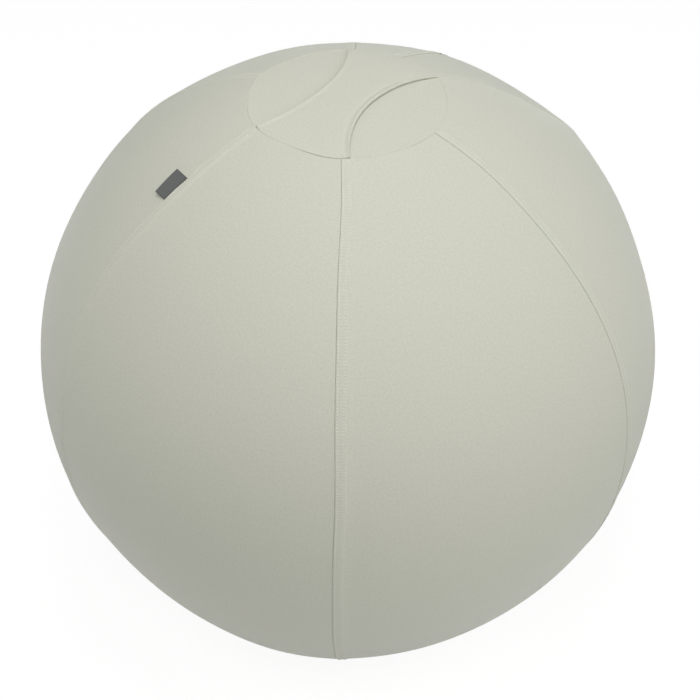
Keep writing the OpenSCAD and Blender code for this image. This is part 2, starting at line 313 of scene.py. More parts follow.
def rounded_copy(name, node, radius, material, body):
    """Makes a piece from a CAD part: its loose triangles are merged, its flat faces joined and its
    sharp edges rounded to a radius in millimetres."""
    made = bpy.data.objects.new(name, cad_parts[node].data.copy())
    bpy.context.scene.collection.objects.link(made)
    made.data.materials.clear()
    made.data.materials.append(material)
    mesh = bmesh.new()
    mesh.from_mesh(made.data)
    bmesh.ops.remove_doubles(mesh, verts=mesh.verts, dist=1e-6)
    bmesh.ops.dissolve_limit(mesh, angle_limit=math.radians(2), verts=mesh.verts, edges=mesh.edges)
    bmesh.ops.recalc_face_normals(mesh, faces=mesh.faces)
    mesh.to_mesh(made.data)
    mesh.free()
    bevel = made.modifiers.new("rounded edges", "BEVEL")
    bevel.width, bevel.segments, bevel.angle_limit = radius / 1000, 2, math.radians(35)
    made.data.polygons.foreach_set("use_smooth", np.ones(len(made.data.polygons), bool))
    made.modifiers.new("even shading", "WEIGHTED_NORMAL")
    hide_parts(node)
    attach(made, body)


def moulded_material(name, dark, light, roughness):
    """Injection-moulded plastic: an even colour with a fine spark-eroded grain of about 0.3 mm."""
    m, where = textured(name, "Object")
    return finish(m, shades(m, where, 4, dark, light), spots(m, where, 0.3), 0.3, 0.00003,
                  {"Roughness": roughness, "IOR": 1.5})


fitting = moulded_material("moulded_hard_pvc", "#6C6F73", "#75787C", 0.5)
rounded_copy("valve_seat_moulding", "valve_seat", 0.4, fitting, "ball")
stopper = moulded_material("moulded_polyethylene", "#D6D7D4", "#DEDFDC", 0.45)
rounded_copy("valve_plug_moulding", "valve_plug", 0.4, stopper, "ball")

# The sand
# A kilogram or so of dry washed sand lies loose in the bottom of the bladder, and keeps the ball from
# rolling away. Its top is a shallow, uneven heap of grains.
SAND_TOP, SAND_R = 18.2, 114.0


def sheet_faces(rows, columns, wrap=False):
    """Faces of a closed sheet: the outer grid, the inner grid turned over, and a wall round them. A
    wrapped sheet is round, with its first row closed over at the middle."""
    n = rows * columns
    number = np.arange(n).reshape(rows, columns)
    faces = [grid_quads(rows, columns, 0, wrap), grid_quads(rows, columns, n, wrap)[:, ::-1]]
    if wrap:
        faces += [number[0], n + number[0][::-1]]
        edge = np.r_[number[-1], number[-1][:1]]
    else:
        edge = np.r_[number[:, 0], number[-1, 1:], number[-2::-1, -1], number[0, -2::-1]]
    faces.append(np.stack([edge[1:], edge[:-1], n + edge[:-1], n + edge[1:]], -1))
    return faces


def make_sheet(name, outer, inner, material, places=None, wrap=False, **values):
    """A closed sheet from the points of its two faces. Both have the same places in the cloth, and each
    value holds the outer face's numbers and the inner one's."""
    faces = sheet_faces(*outer.shape[:2], wrap)
    return make_piece(name, [outer, inner], faces, material, places if places is None else [places] * 2,
                      **values)


def round_grid(radii, segments=144):
    """Radii and azimuths of a round piece's grid, from its middle out."""
    return np.meshgrid(radii, np.linspace(0, 2 * np.pi, segments, endpoint=False), indexing="ij")


radius, azimuth = round_grid(np.r_[2, np.arange(6, SAND_R, 6), SAND_R])
x, y = radius * np.cos(azimuth), radius * np.sin(azimuth)
heap = 0.9 * np.sin(x / 19 + 1) * np.sin(y / 23) + 0.5 * np.sin((x + y) / 11) - 1.4
grade = 1 - ease((radius - 90) / 24)
top = np.stack([x, y, SAND_TOP + heap * grade], -1)
below = CENTRE_Z - np.sqrt((BLADDER_R - 1.6) ** 2 - radius**2)
bottom = np.stack([x, y, np.clip(below, 3.2, SAND_TOP - 0.3)], -1)
m, where = textured("washed_quartz_sand", "Object")
grains = add(m, "TexVoronoi", {"Vector": where, "Scale": 1000 / 0.8})
finish(m, shades(m, where, 1.0, "#A08A60", "#CDB78C"), grains, 0.8, 0.0004, {"Roughness": 0.95})
sand = make_sheet("sand_ballast_heap", top, bottom, m, wrap=True)
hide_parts("sand_ballast")
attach(sand, "ball")

# The cover's panels
# Six gores of matt polyester stretch knit, sewn side by side over the bladder. Both allowances of a
# seam lie under the panel on its left, as a flat band held by two rows of stitches. The zip cuts the
# back panel in two, and each half has a turned hem along the slot.
SET_BACK = 23.923
BASE_R = 97.0
CLOTH_T = 1.0
BAND_W, BAND_RISE, BAND_ROWS = 9.2, 0.6, (2.0, 8.0)
# Seams that are pulled so tight that their band is flatter, with the share of the rise that is left
TIGHT_BANDS = {60: 0.3, 120: 0.4}
HEM_W, HEM_RISE, HEM_ROWS = 8.0, 0.9, (1.6, 6.6)
SLOT_HALF = 4.5
# The top piece's seam: how far it is drawn out at the panels' seams and in by the strap's front end, where
# that is and its spread in degrees, how deep it lies at some azimuths, and the gap between both cloths
DRAWN_OUT, DRAWN_IN, DRAWN_AT, DRAWN_SPREAD = 1.0, 2.2, 266, 20
TOP_SEAM_DEPTHS = {0: 0.8, 50: 0.1, 90: 0.25, 180: 0.95, 235: 0.65, 250: 0.5, 270: 0.35, 285: 0.7,
                   315: 2.2, 340: 1.9}
SEAM_GAP = 0.03
# Where light is painted on a panel, paler beside the seam on its left: polar angle and spread in degrees,
# reach in millimetres, and how much
RIDGE_LIGHT = {"panel_right_back": (46, 22, 50.0, 0.9)}
STITCH_PITCH = 3.0
# Pitch of the cloth's ribs, and of the loops along each rib
RIB_PITCH, LOOP_PITCH = 1.3, 1.1
PANEL_L = BALL_R * (math.pi - 2 * math.asin(TOP_SEAM_R / BALL_R))


def inside_slot(polar):
    """Distance from the nearer end of the zip's slot, less than 0 beyond it."""
    return np.minimum(polar - math.radians(ZIP_POLAR[0]), math.radians(ZIP_POLAR[1]) - polar) * BALL_R


def slot_half(polar):
    """Half the width of the zip's slot: SLOT_HALF, with round ends."""
    return SLOT_HALF * np.sqrt(1 - np.clip(1 - inside_slot(polar) / SLOT_HALF, 0, 1) ** 2)


def beside_zip(polar):
    """1 beside the zip's slot and 0 away from it."""
    return ease((inside_slot(polar) + 6) / 6)


def top_rim(azimuth):
    """Radius of the top piece's seam: it is drawn out a little where the panels' seams meet it, and
    drawn in at the front by the strap."""
    from_strap = (np.degrees(np.mod(azimuth, 2 * np.pi)) - DRAWN_AT) / DRAWN_SPREAD
    return TOP_SEAM_R + DRAWN_OUT * np.cos(6 * azimuth) - DRAWN_IN * np.exp(-(from_strap**2))


def top_seam_depth(azimuth):
    """How deep the top piece's seam lies: least at the right back, where it is pulled flat. The shade
    painted into its ditch grows with the depth.
    """
    return np.interp(np.degrees(azimuth), list(TOP_SEAM_DEPTHS), list(TOP_SEAM_DEPTHS.values()), period=360)


def panel_radius(polar, off):
    """Distance of a panel's surface from the ball's axis, as the head of this file says."""
    level = BALL_R * np.sin(polar) + SET_BACK
    return np.sqrt(level**2 - (SET_BACK * np.sin(off)) ** 2) - SET_BACK * np.cos(off)


def panel_polar(radius, off):
    """Polar angle at which a panel's surface is at that distance from the axis."""
    level = np.hypot(radius + SET_BACK * np.cos(off), SET_BACK * np.sin(off)) - SET_BACK
    return np.arcsin(level / BALL_R)


def on_panel(middle, start, stop, down, fixed, share=0.0, ends=0.0):
    """A panel's bare surface at distances down from its top seam and across from its right edge: a
    fixed distance and a share of what the width leaves beyond the ends. Start and stop are the edges,
    as angles off the middle, and 0 is the zip's side. Gives points about the ball's centre, the
    distances from both edges and the polar angle."""
    turn, first = math.radians(stop - start), math.radians(start)
    off = first + (fixed + share * (turn * TOP_SEAM_R - ends)) / TOP_SEAM_R
    top = panel_polar(top_rim(math.radians(middle) + off) + SEAM_GAP, off)
    bottom = np.pi - panel_polar(BASE_R + 0.1, off)
    polar = top + down / PANEL_L * (bottom - top)
    right = seam_bend(middle + start, polar) + (slot_half(polar) if start == 0 else 0)
    left = seam_bend(middle + stop, polar) - (slot_half(polar) if stop == 0 else 0)
    edge_radius = panel_radius(polar, math.radians(30))
    width = turn * edge_radius + left - right
    across = fixed + share * (width - ends)
    azimuth = math.radians(middle) + first + (right + across) / edge_radius
    radius = panel_radius(polar, first + across / width * turn)
    points = np.stack([radius * np.cos(azimuth), radius * np.sin(azimuth), BALL_R * np.cos(polar)], -1)
    return points, across, width - across, polar


def fold(distance, radius, drop):
    """Fall of a folded edge: a quarter of an ellipse, from the drop at the edge to none."""
    return -drop * (1 - np.sqrt(1 - np.clip(1 - distance / radius, 0, 1) ** 2))


def stitch_rows(distance, rows, spread):
    """Nearness to the rows of stitches, from 1 on a row down to 0: a bell curve for each row."""
    return sum(np.exp(-(((distance - row) / spread) ** 2)) for row in rows)


def band_relief(distance, seam):
    """Rise of a seam's band over the allowances, with its rows of stitches drawn in."""
    rise = BAND_RISE * TIGHT_BANDS.get(seam % 360, 1.0)
    return rise * (1 - ease((distance - BAND_W) / 1.2)) - 0.2 * stitch_rows(distance, BAND_ROWS, 0.5)


def hem_relief(distance):
    """Rise of the turned hem beside the zip, with its rows of stitches drawn in."""
    return HEM_RISE * (1 - ease((distance - HEM_W) / 1.3)) - 0.2 * stitch_rows(distance, HEM_ROWS, 0.5)


def panel_relief(middle, start, stop, down, from_right, from_left, polar):
    """Rise of the sewn cloth over the bare surface, the nearness to its rows of stitches, and the
    shade painted into the ditch of a seam."""
    zip_side = beside_zip(polar)
    right = band_relief(from_right, middle + start)
    rows = stitch_rows(from_right, BAND_ROWS, 1.0) * TIGHT_BANDS.get((middle + start) % 360, 1.0)
    left = np.zeros_like(right)
    if start == 0:
        right = right + zip_side * (hem_relief(from_right) - right)
        rows = rows + zip_side * (stitch_rows(from_right, HEM_ROWS, 1.0) - rows)
    if stop == 0:
        left = zip_side * hem_relief(from_left)
        rows = rows + zip_side * stitch_rows(from_left, HEM_ROWS, 1.0)
    hem = zip_side * (start == 0), zip_side * (stop == 0)
    turn = np.radians(middle + start + (stop - start) * from_right / (from_right + from_left))
    top_seam = top_seam_depth(turn)
    edges = np.minimum.reduce([
        fold(from_right, 0.9, 1.2), fold(from_left, 0.7 + 0.2 * hem[1], 0.9 + 0.3 * hem[1]),
        fold(down, 0.6, 0.9) * top_seam, fold(PANEL_L - down, 0.8, 0.9) + 0 * right])
    ditch = np.maximum.reduce([
        1 - ease(from_right / 0.6), 1 - ease(from_left / 0.6), 0.8 * top_seam * (1 - ease(down / 0.4)),
        1 - ease((PANEL_L - down) / 0.4) + 0 * right])
    return right + left + edges, rows, ditch


def lift(points, rise):
    """Points about the ball's centre, moved out from it by a rise and by the cover's hollows and
    swells, and set in the ball's place."""
    size = np.linalg.norm(points, axis=-1, keepdims=True)
    rise = rise + swell(points)
    return points * (1 + rise[..., None] / size) + CENTRE


def cloth_material():
    """Polyester stretch knit, warp knitted and brushed soft: matt, with a bloom along its edges. Its
    ribs are 0.6 mm apart, drawn at 1.3 mm so that they show, and its colour is faintly mottled. The
    cloth puckers between the stitches along each row. Shade is painted into the colour, darker in the
    ditches of the seams and between stitches, and light is painted, paler along the rows of stitches
    and beside the ridge on the right back panel."""
    m, where = textured("polyester_stretch_knit", "UV")
    across = add(m, "SeparateXYZ", {"Vector": where})
    along = across.node.outputs["Y"]
    rib = maths(m, "PINGPONG", across, RIB_PITCH / 2000)
    slant = maths(m, "MULTIPLY_ADD", rib, 1.1, along)
    loop = maths(m, "SINE", maths(m, "MULTIPLY", slant, 2000 * math.pi / LOOP_PITCH))
    knit = maths(m, "MULTIPLY_ADD", rib, 1000.0, loop)
    relief = add(m, "Bump", {"Height": knit, "Strength": 0.35, "Distance": 0.00008})
    wave = maths(m, "COSINE", maths(m, "MULTIPLY", along, 2000 * math.pi / STITCH_PITCH))
    near = on_points(m, "stitch_row")
    pucker = maths(m, "MULTIPLY", wave, near)
    relief = add(m, "Bump", {"Height": pucker, "Strength": 0.6, "Distance": 0.00014, "Normal": relief})
    grain = shades(m, where, 2.2, "#CBCCBE", "#D3D4C6", detail=3.0)
    # Painted shade in the hollows of the puckers between stitches
    painted_hole_shade = maths(m, "MULTIPLY", pucker, -0.10, use_clamp=True)
    # Painted shade: the colour is turned towards dark #4A4A42 in the ditches of the seams
    shade = maths(m, "MULTIPLY_ADD", on_points(m, "ditch"), 0.12, painted_hole_shade, use_clamp=True)
    # Painted light: the colour is turned towards pale #DCDDD0 along the rows of stitches and beside the
    # ridge
    painted_light = maths(m, "MULTIPLY_ADD", near, 0.35, on_points(m, "stretched"), use_clamp=True)
    colour = tinted(m, shade, tinted(m, painted_light, grain, "#DCDDD0"), "#4A4A42")
    return close_material(m, add(m, "BsdfPrincipled", {
        "Base Color": colour, "Diffuse Roughness": 0.15, "Roughness": 0.92, "Specular IOR Level": 0.2,
        "Sheen Weight": 0.32, "Sheen Roughness": 0.4, "Normal": relief}))


# Where the columns of points lie beside a panel's edges, and the rows at its ends
band_columns = np.array(
    [0, 0.12, 0.3, 0.55, 0.9, 1.3, 1.7, 2.2, 3.0, 4.6, 6.4, 7.1, 7.5, 7.9, 8.3, 8.8, 9.3, 9.9, 10.8])
hem_columns = np.array(
    [0, 0.12, 0.3, 0.55, 0.9, 1.2, 1.6, 2.0, 2.8, 4.2, 5.6, 6.2, 6.6, 7.0, 7.5, 8.1, 8.7, 9.5, 10.8])
plain_columns = np.array([2.4, 1.2, 0.7, 0.45, 0.25, 0.1, 0])
end_rows = np.array([0, 0.12, 0.3, 0.55, 0.8, 1.3, 2.2, 4, 7, 11])
zip_ends = [(math.radians(a) - math.asin(TOP_SEAM_R / BALL_R)) * BALL_R for a in ZIP_POLAR]
slot_rows = np.concatenate([np.arange(-7.0, 7.5, 0.6) + end for end in zip_ends])
long_rows = np.r_[end_rows, np.linspace(17, PANEL_L - 17, 112), PANEL_L - end_rows[::-1]]
knit = cloth_material()
PANELS = {
    "panel_front": (270, -30, 30), "panel_right_front": (330, -30, 30), "panel_right_back": (30, -30, 30),
    "panel_back_right": (90, -30, 0), "panel_back_left": (90, 0, 30), "panel_left_back": (150, -30, 30),
    "panel_left_front": (210, -30, 30),
}
for name, (middle, start, stop) in PANELS.items():
    right = hem_columns if start == 0 else band_columns
    left = hem_columns[::-1] if stop == 0 else plain_columns
    between = np.linspace(0, 1, (26 if stop - start == 60 else 14))[1:-1]
    fixed = np.r_[right, 0 * between + right[-1], right[-1] + left[0] - left]
    share = np.r_[0 * right, between, 0 * left + 1]
    down = long_rows if stop - start == 60 else np.unique(np.r_[long_rows, slot_rows])
    surface, from_right, from_left, polar = on_panel(
        middle, start, stop, down[:, None], fixed, share, right[-1] + left[0])
    rise, rows, ditch = panel_relief(middle, start, stop, down[:, None], from_right, from_left, polar)
    places = np.stack([(from_right - from_left) / 2, down[:, None] + 0 * rise], -1)
    pale = 0 * rise
    # Painted light: the cloth is made paler beside the ridge seam
    if name in RIDGE_LIGHT:
        at, wide, reach, most = RIDGE_LIGHT[name]
        pale = most * np.exp(-(((np.degrees(polar) - at) / wide) ** 2) - from_left / reach)
    panel = make_sheet(name + "_cloth", lift(surface, rise), lift(surface, rise - CLOTH_T), knit, places,
                       stitch_row=(rows, 0 * rows), ditch=(ditch, ditch), stretched=(pale, pale))
    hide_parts(name)
    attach(panel, "ball")

# The cover's stitching
# Polyester thread, 1 mm thick, in two rows down each band and each hem: one short bar of thread for
# each stitch, a little slanted, whose ends dive into the cloth.
THREAD, THREAD_SLANT, BAR_LENGTH = 1.0, 0.14, 2.2
# The bar's rise at its middle and its fall to its ends, and how deep the thread sinks in a flat band
BAR_RISE, BAR_BOW, THREAD_SINK = 0.22, 0.42, 0.4


def thread_bars(centre, ahead, out):
    """Points and faces of stitches at centres about the ball or strap, each with its direction and
    its way out: four rings of five points along a low bow, closed at both ends."""
    centre, ahead, out = (np.asarray(a, float).reshape(-1, 1, 1, 3) for a in (centre, ahead, out))
    side = np.cross(ahead, out)
    ahead = ahead * math.cos(THREAD_SLANT) + side * math.sin(THREAD_SLANT)
    side = np.cross(ahead, out)
    t = np.array([-1, -0.5, 0.5, 1]).reshape(1, 4, 1, 1)
    size = THREAD / 2 * np.array([0.5, 1, 1, 0.5]).reshape(1, 4, 1, 1)
    turn = np.radians(np.arange(0, 360, 72)).reshape(1, 1, 5, 1)
    bow = BAR_RISE - BAR_BOW * t * t
    points = centre + ahead * t * BAR_LENGTH / 2
    points = points + out * (bow + size * np.cos(turn)) + side * size * np.sin(turn)
    first = np.arange(len(points)).reshape(-1, 1, 1) * 20
    quads = (first + grid_quads(4, 5, 0, wrap=True)[None, :, ::-1]).reshape(-1, 4)
    rings = (first[:, 0] + np.arange(5)), (first[:, 0] + 15 + np.arange(5)[::-1])
    return points.reshape(-1, 3), [quads, *rings]


def squared(vectors, ahead):
    """Unit vectors nearest to those given that stand square to the unit vectors ahead."""
    return unit(vectors - (vectors * ahead).sum(1, keepdims=True) * ahead)


def seam_stitches(middle, start, stop, row, from_end, low, high):
    """Centres, directions and ways out of one row of stitches down a panel, at a distance from its
    right edge or, from the end, from its left edge."""
    count = np.arange(math.ceil(low / STITCH_PITCH), math.floor(high / STITCH_PITCH) + 1)
    down = count[:, None] * STITCH_PITCH
    across = (np.array([-row]), 1.0) if from_end else (np.array([row]), 0.0)
    here, from_right, from_left, polar = on_panel(middle, start, stop, down, *across)
    rise = panel_relief(middle, start, stop, down, from_right, from_left, polar)[0]
    rise = rise - THREAD_SINK * (1 - TIGHT_BANDS.get((middle + start) % 360, 1.0))
    ahead = on_panel(middle, start, stop, down + 0.5, *across)[0] - here
    return lift(here, rise)[:, 0], unit(ahead[:, 0]), unit(here[:, 0])


def thread_material(name, dark, light):
    """Polyester sewing thread, spun and matt, with a twist."""
    m, where = textured(name, "Object")
    return finish(m, shades(m, where, 0.5, dark, light), spots(m, where, 0.4, 1.0), 0.4, 0.00006,
                  {"Roughness": 0.75, "Sheen Weight": 0.1})


def stitching(name, rows, body, thread):
    """One piece of thread from several rows of stitches."""
    made = make_piece(name, *thread_bars(*(np.concatenate(part) for part in zip(*rows))), thread)
    if body:
        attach(made, body)
    return made


seam_thread = thread_material("spun_polyester_thread", "#D4D5C8", "#DDDED1")
seam_rows, hem_rows = [], []
for middle, start, stop in PANELS.values():
    spans = [(2, zip_ends[0] - 6), (zip_ends[1] + 6, PANEL_L - 2)] if start == 0 else [(2, PANEL_L - 2)]
    for row in BAND_ROWS:
        seam_rows += [seam_stitches(middle, start, stop, row, False, *span) for span in spans]
    if start == 0 or stop == 0:
        hem_rows += [seam_stitches(middle, start, stop, row, stop == 0, *zip_ends) for row in HEM_ROWS]
stitching("seam_stitching", seam_rows, "ball", seam_thread)
stitching("hem_stitching", hem_rows, "ball", seam_thread)

# The bar tack
# A tight bar of dark thread, 2 mm long, sewn across the back seam above the zip, where the seam's long
# rows of stitches end.
TACK_POLAR, TACK_STEP, TACK_RISE = 32.9, 0.08, 0.5
polar = np.radians(TACK_POLAR + np.arange(-2, 3) * TACK_STEP)
turn = math.radians(90) + seam_bend(90, polar) / (BALL_R * np.sin(polar))
out = outward(turn, polar)
tack = lift(out * BALL_R, TACK_RISE + 0 * turn), np.stack([-np.sin(turn), np.cos(turn), 0 * turn], -1), out
dark_thread = thread_material("dyed_polyester_thread", "#6A6B63", "#77786F")
stitching("seam_bar_tack", [tack], "ball", dark_thread)

# The top piece
# A round piece of the same knit, 194 mm across, set into the top of the panels with a plain seam. It
# is drawn tighter than the panels, so it is flatter than the ball.


def top_height(radius, rim=TOP_SEAM_R, depth=0.6):
    """Height of the top piece: a low dome over its seam, folded down at the seam itself."""
    dome = dome_height(radius * TOP_SEAM_R / rim, TOP_CROWN)
    return TOP_SEAM_Z + dome + fold(rim - radius, 0.6, 0.9) * depth


def follow(x, y, z):
    """Points of a piece on top of the ball, moved with the cover's hollows and swells."""
    return lift(np.stack([x, y, z - CENTRE_Z], -1), 0 * z)


def round_sheet(name, x, y, outer, inner, rim, shade, material):
    """A round closed sheet from the heights of its two faces on a grid from the middle out, with the
    shade painted into the ditch at its rim."""
    ditch = shade * (1 - ease((rim - np.hypot(x, y)) / 0.4))
    return make_sheet(name, follow(x, y, outer), follow(x, y, inner), material, np.stack([x, y], -1),
                      wrap=True, ditch=(ditch, ditch))


share, azimuth = round_grid(np.r_[2, np.arange(8, 92, 6), 93, 95, 96, 96.3, 96.55, 96.75, 96.9, 97] / 97)
radius = share * (top_rim(azimuth) - SEAM_GAP)
depth = top_seam_depth(azimuth)
height = top_height(radius, top_rim(azimuth) - SEAM_GAP, depth)
top_piece = round_sheet("top_piece_cloth", radius * np.cos(azimuth), radius * np.sin(azimuth), height,
                        height - CLOTH_T, top_rim(azimuth), 0.8 * depth, knit)
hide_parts("top_piece")
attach(top_piece, "ball")

# The carrying strap
# Two layers of the knit, drawn in to 53 mm at the middle. A turned hem, stitched down, runs along each
# curved edge, and both ends are caught in the top piece's seam. It stands a little off the top piece.
# It is made as two halves, one for each end.
WAIST, END_W = 53.0, 103.0
STRAP_T, STRAP_GAP, STRAP_LOW = 1.6, 0.7, 0.3
STRAP_REACH = math.sqrt(TOP_SEAM_R**2 - END_W**2 / 4)
STRAP_ARC = (STRAP_REACH**2 + ((END_W - WAIST) / 2) ** 2) / (END_W - WAIST)
STRAP_HEM, STRAP_ROW, STRAP_SEWN = 8.2, 6.8, 78.5
# Rise of the hem's roll, depth of its row of stitches, and how much further the hems' ends fold down
ROLL_RISE, ROW_DEPTH, HEM_DROP = 1.25, 0.3, 1.2
# Least gap to the top piece, and least thickness
STRAP_CLEAR, STRAP_LEAST = 0.12, 0.15
# Gap between the strap's ends and the panels, and how much is cut off the fold there
END_GAP, END_CUT = 0.12, 0.05
# Each end: its way along -Y, how far it is sewn off the middle, whether its hems are blunt or pressed
# thin, how much thinner it is between the hems and over what reach, and how far it folds down
StrapEnd = namedtuple("StrapEnd", "way skew blunt thinner reach drop")
STRAP_ENDS = {"front": StrapEnd(1, 3.1, 1.0, 0.95, 7.0, 0.5), "back": StrapEnd(-1, 0.0, 0.0, 1.3, 16.0, 0.4)}


def strap_edge(y):
    """Half the strap's width: a circle's arc that is narrowest at the middle."""
    return WAIST / 2 + STRAP_ARC - np.sqrt(STRAP_ARC**2 - y**2)


def strap_middle(y, end):
    """How far the strap's middle line lies to one side: it grows with the square of the distance."""
    return end.skew * (y / STRAP_REACH) ** 2


def strap_rim(x, y, end):
    """Radius of the top piece's seam beyond a point of the strap."""
    return top_rim(np.arctan2(-end.way * y, end.way * x))


def strap_length(side, fixed, end):
    """Distance from the middle at which a lengthwise line of the strap meets the seam, by halving."""
    low, high = np.zeros_like(side), np.full_like(side, TOP_SEAM_R)
    for _ in range(40):
        y = (low + high) / 2
        x = side * (strap_edge(y) - fixed) + strap_middle(y, end)
        beyond = np.hypot(x, y) > strap_rim(x, y, end) - END_GAP
        low, high = np.where(beyond, low, y), np.where(beyond, y, high)
    return low


def strap_heights(x, y, end):
    """Upper and lower face of the strap: a dome over the top piece's, with each hem rolled up along its
    edge and drawn in along its stitches, and thin ends that go down into the seam, the hems' bluntly.
    Also the shade that is painted under the hems' ends."""
    from_middle, from_edge = x + strap_middle(y, end), strap_edge(y) - np.abs(x)
    radius, rim = np.hypot(from_middle, y), strap_rim(from_middle, y, end)
    to_seam = rim - END_GAP + END_CUT - radius
    hem = end.blunt * (1 - ease((from_edge - STRAP_HEM) / 1.2))
    gap = STRAP_LOW + STRAP_GAP * (1 - np.clip(radius / TOP_SEAM_R, 0, 1) ** 4)
    base = top_height(np.minimum(radius, rim - 1), rim) + gap
    drop = fold(to_seam, 0.9, end.drop + HEM_DROP * hem)
    roll = ROLL_RISE * (1 - ease((from_edge - 1.2) / 3.6)) + fold(from_edge, 2.2, 1.5)
    roll = roll - ROW_DEPTH * stitch_rows(from_edge, (STRAP_ROW,), 2.8)
    roll = roll * np.maximum(end.blunt, ease(to_seam / end.reach))
    thinner = end.thinner * (1 - hem) * (1 - ease(to_seam / end.reach))
    upper = base + STRAP_T + roll - thinner + drop
    lower = np.maximum(base - fold(from_edge, 0.8, 0.74) + drop, top_height(radius, rim) + STRAP_CLEAR)
    # Painted shade under the blunt ends of the hems, where they go down into the seam
    shade_under_hem = end.blunt * (1 - ease((from_edge - STRAP_HEM - 3) / 1.2))
    shade = shade_under_hem * (1 - ease((to_seam - 0.2) / 0.4))
    return np.maximum(upper, lower + STRAP_LEAST), lower, shade


strap_columns = np.array(
    [0, 0.12, 0.3, 0.5, 0.8, 1.2, 2.0, 3.2, 4.6, 5.8, 6.4, 6.8, 7.2, 7.8, 8.4, 9.0, 9.8])
between = np.linspace(-1, 1, 15)[1:-1]
side = np.r_[0 * strap_columns - 1, between, 0 * strap_columns + 1]
fixed = np.r_[strap_columns, 0 * between + strap_columns[-1], strap_columns[::-1]]
# Rows across the strap, as shares of the way to the seam: close together at its end
back_off = np.r_[0, 0.1, 0.25, 0.45, 0.7, 1.0, 1.5, 2.2, 3.2, 5, 8, 12]
steps = np.r_[np.linspace(0, 1 - 16 / 90, 22), 1 - back_off[::-1] / 90]
strap_thread = thread_material("matching_polyester_thread", "#CBCCBE", "#D3D4C6")
for name, end in STRAP_ENDS.items():
    way = end.way
    y = steps[:, None] * strap_length(side, fixed, end)
    x = side * (strap_edge(y) - fixed)
    upper, lower, ditch = strap_heights(x, y, end)
    rows = 0.4 * stitch_rows(strap_edge(y) - np.abs(x), (STRAP_ROW,), 1.0)
    px, py = way * (x + strap_middle(y, end)), -way * y
    half = make_sheet(
        "carrying_strap_" + name, follow(px, py, upper), follow(px, py, lower), knit,
        np.stack([px, py], -1), stitch_row=(rows, 0 * rows), ditch=(ditch, 0 * ditch))
    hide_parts("carrying_strap")
    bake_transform(half)
    sewn_rows = []
    for edge in (-1, 1):
        sy = np.arange(STITCH_PITCH / 2, STRAP_SEWN, STITCH_PITCH)
        sx = edge * (strap_edge(sy) - STRAP_ROW)
        height = strap_heights(sx, sy, end)[0] - THREAD / 2
        centre = np.stack([way * (sx + strap_middle(sy, end)), -way * sy, height], -1)
        ahead = unit(np.gradient(centre, axis=0))
        place = follow(centre[:, 0], centre[:, 1], height)
        sewn_rows.append((place, ahead, squared(place - CENTRE + [0, 0, 200], ahead)))
    sewn = stitching("strap_stitching_" + name, sewn_rows, None, strap_thread)
    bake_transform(sewn)

# The base piece
# A round piece of dense plain cloth under the ball, set into the panels as the top piece is. Small
# round dots of soft PVC are printed on it, 7 mm apart, to grip the floor.
DOT_PITCH, DOT_R, DOT_RISE = 7.0, 1.3, 0.42


def base_height(radius):
    """Height of the base cloth's underside: the ball's own form, blended into the flat it stands on."""
    over = CENTRE_Z - np.sqrt(BALL_R**2 - radius**2) - DOT_RISE
    return DOT_RISE + (over + np.sqrt(over**2 + 0.64)) / 2 - fold(BASE_R - radius, 0.8, 0.9)


radius, azimuth = round_grid(np.r_[2, np.arange(8, 92, 5), 93, 95, 96, 96.3, 96.55, 96.75, 96.9])
x, y = radius * np.cos(azimuth), -radius * np.sin(azimuth)
height = base_height(radius)
dense, where = textured("dense_woven_polyester", "UV")
weave = maths(dense, "MULTIPLY", bands(dense, where, 1.4, "X"), bands(dense, where, 1.4, "Y"))
finish(dense, shades(dense, where, 3, "#6D6F69", "#7A7C75"), weave, 0.6, 0.00015,
       {"Roughness": 0.9, "Sheen Weight": 0.1})
base_piece = round_sheet("base_piece_cloth", x, y, height, height + CLOTH_T, BASE_R, 1.0, dense)
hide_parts("base_piece")
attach(base_piece, "ball")

i, j = np.meshgrid(np.arange(-16, 17), np.arange(-16, 17), indexing="ij")
x, y = (i + j / 2).ravel() * DOT_PITCH, (j * math.sqrt(0.75)).ravel() * DOT_PITCH
keep = np.hypot(x, y) < 92
x, y = x[keep][:, None, None], y[keep][:, None, None]
turn = -np.radians(np.arange(0, 360, 45))[None, None, :]
ring = np.array([1.0, 0.92, 0.55])[None, :, None] * DOT_R
drop = np.array([-0.15, 0.26, DOT_RISE])[None, :, None]
px, py = x + ring * np.cos(turn), y + ring * np.sin(turn)
dots = np.stack([px, py, base_height(np.hypot(px, py)) - drop], -1)
first = np.arange(len(x))[:, None] * 24
quads = (first[:, :, None] + grid_quads(3, 8, 0, wrap=True)[None, :, ::-1]).reshape(-1, 4)
grip = make_piece("grip_dots", dots, [quads, first + np.arange(8), first + 16 + np.arange(8)[::-1]],
                  moulded_material("printed_soft_pvc", "#565853", "#5F615B", 0.55))
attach(grip, "ball")

# The label
# A bare woven label of dark satin polyester, folded once and caught by its open edge in the seam
# between the front and the left front panel. It stands off the cloth a little and droops.
LABEL_HINGE = np.array([-90.362, -160.511, 589.709])
LABEL_AZIMUTH, LABEL_POLAR = math.radians(240), math.radians(33.76)
LABEL_L, LABEL_W, LABEL_T = 29.8, 17.4, 0.8
# How far it swings down the ball, how much narrower its upper end is, and how full its middle: as shares
LABEL_SWING, LABEL_ASKEW, LABEL_BULGE = 0.1, 0.12, 0.03
# How far its line lies to the left of its hinge and under it
LABEL_LEFT, LABEL_UNDER = 0.6, 0.5


